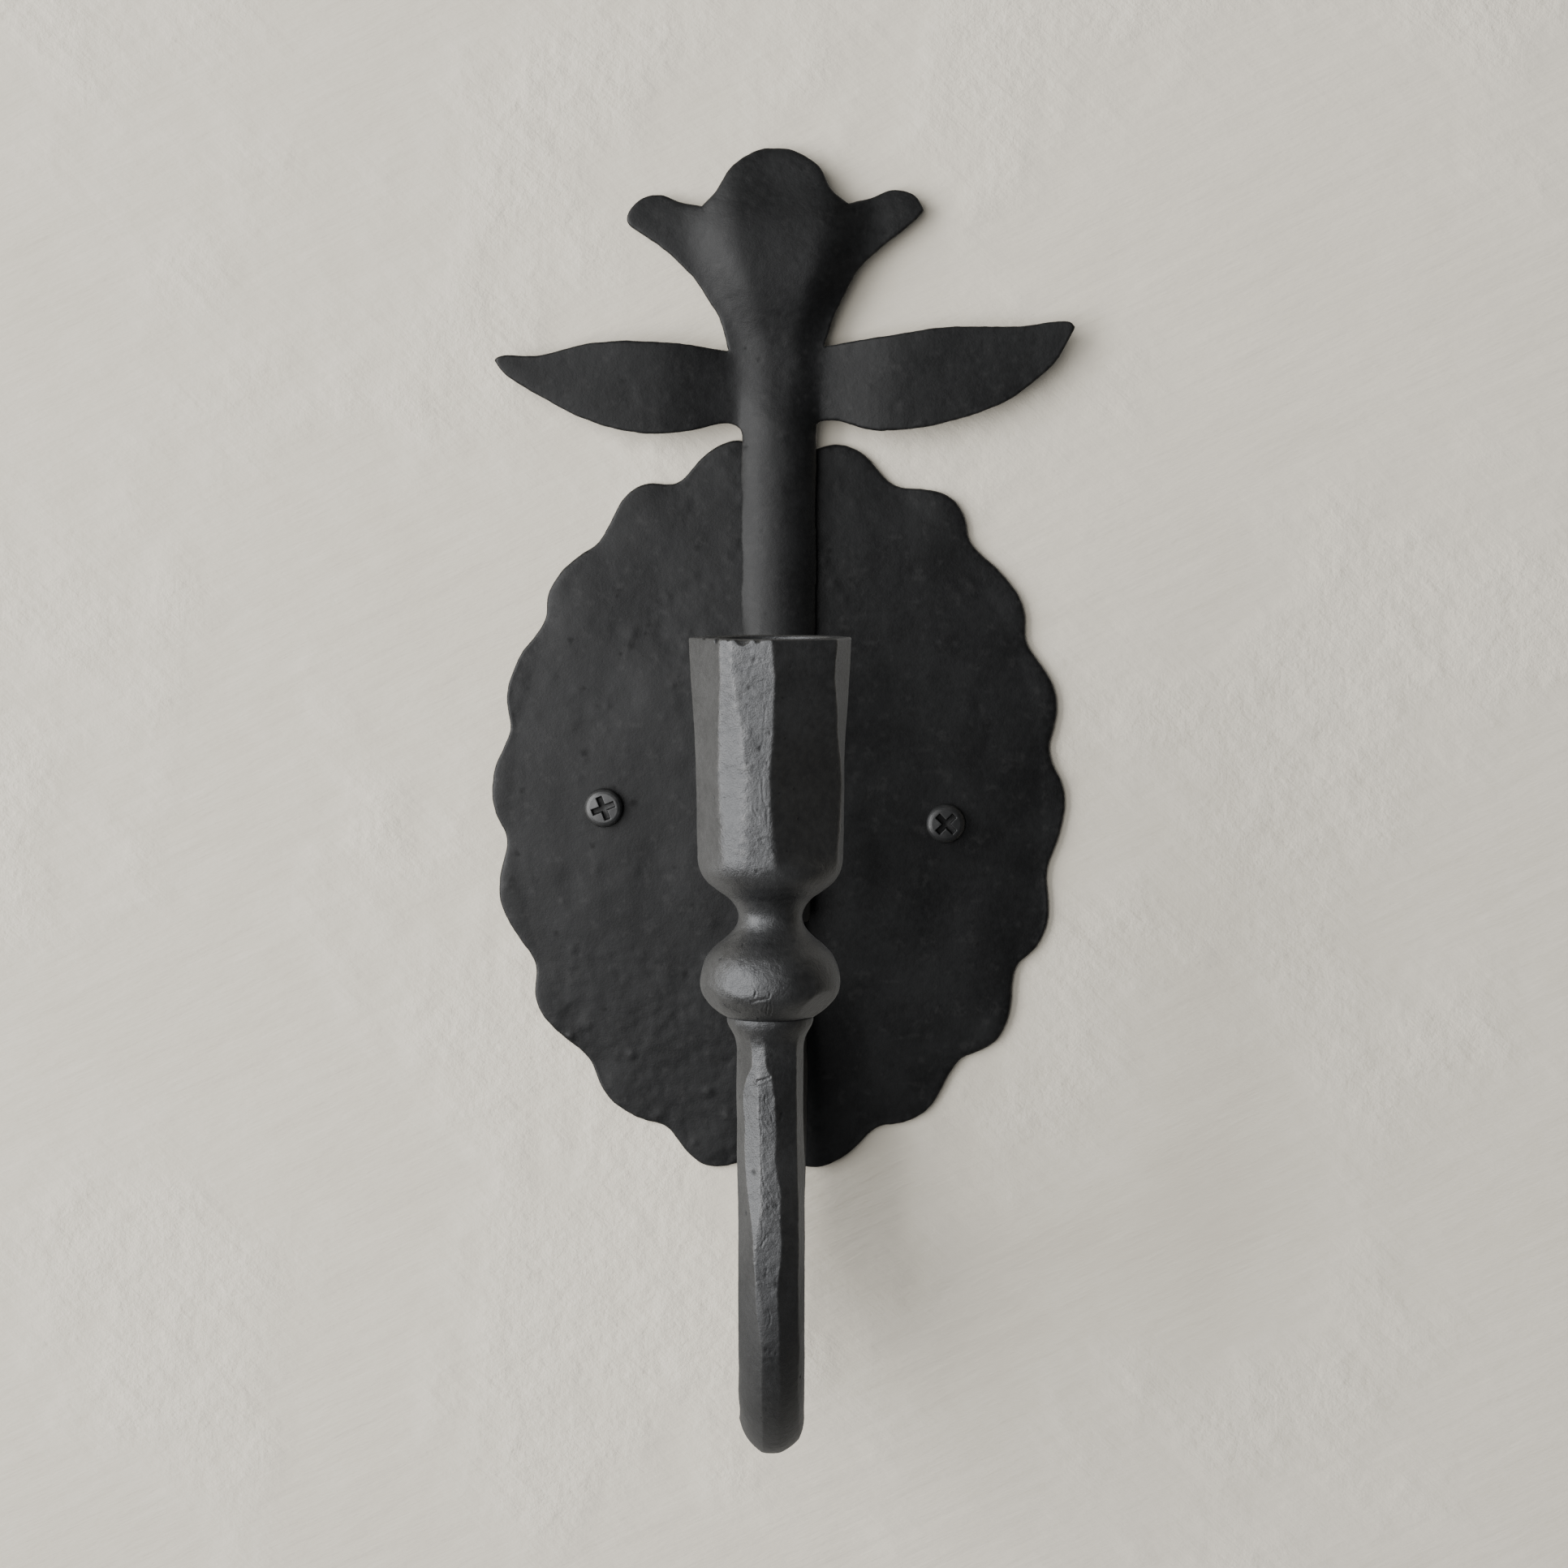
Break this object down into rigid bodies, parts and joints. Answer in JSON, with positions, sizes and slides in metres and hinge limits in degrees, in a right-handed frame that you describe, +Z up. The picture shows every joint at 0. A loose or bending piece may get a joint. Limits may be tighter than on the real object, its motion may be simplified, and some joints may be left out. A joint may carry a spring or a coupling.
{
  "type": "wall sconce for a taper candle",
  "caption": "Black forged-iron wall sconce: a scalloped backplate, a tulip and leaf stem, and a J-shaped arm with one faceted taper-candle cup.",
  "frame": {"origin": "on the wall's surface, behind the middle of the backplate", "axes": "+Z up, +Y into the wall, +X to the viewer's right; the cup stands out towards -Y"},
  "size_m": [0.1224, 0.1329, 0.2626],
  "materials": {
    "sheet_iron": "hammered sheet iron, blackened and waxed, matte",
    "forged_iron": "forged and cast iron, blackened and waxed, satin",
    "screw_steel": "black oxide, satin",
    "plug_nylon": "grey moulded nylon"
  },
  "bodies": {
    "root": {"backplate": "sheet_iron", "floral_stem": "sheet_iron", "arm": "forged_iron", "candle_cup": "forged_iron", "rivet_upper": "forged_iron", "rivet_lower": "forged_iron", "wall_screw_left": "screw_steel", "wall_screw_right": "screw_steel", "wall_plug_left": "plug_nylon", "wall_plug_right": "plug_nylon"}
  },
  "joints": []
}
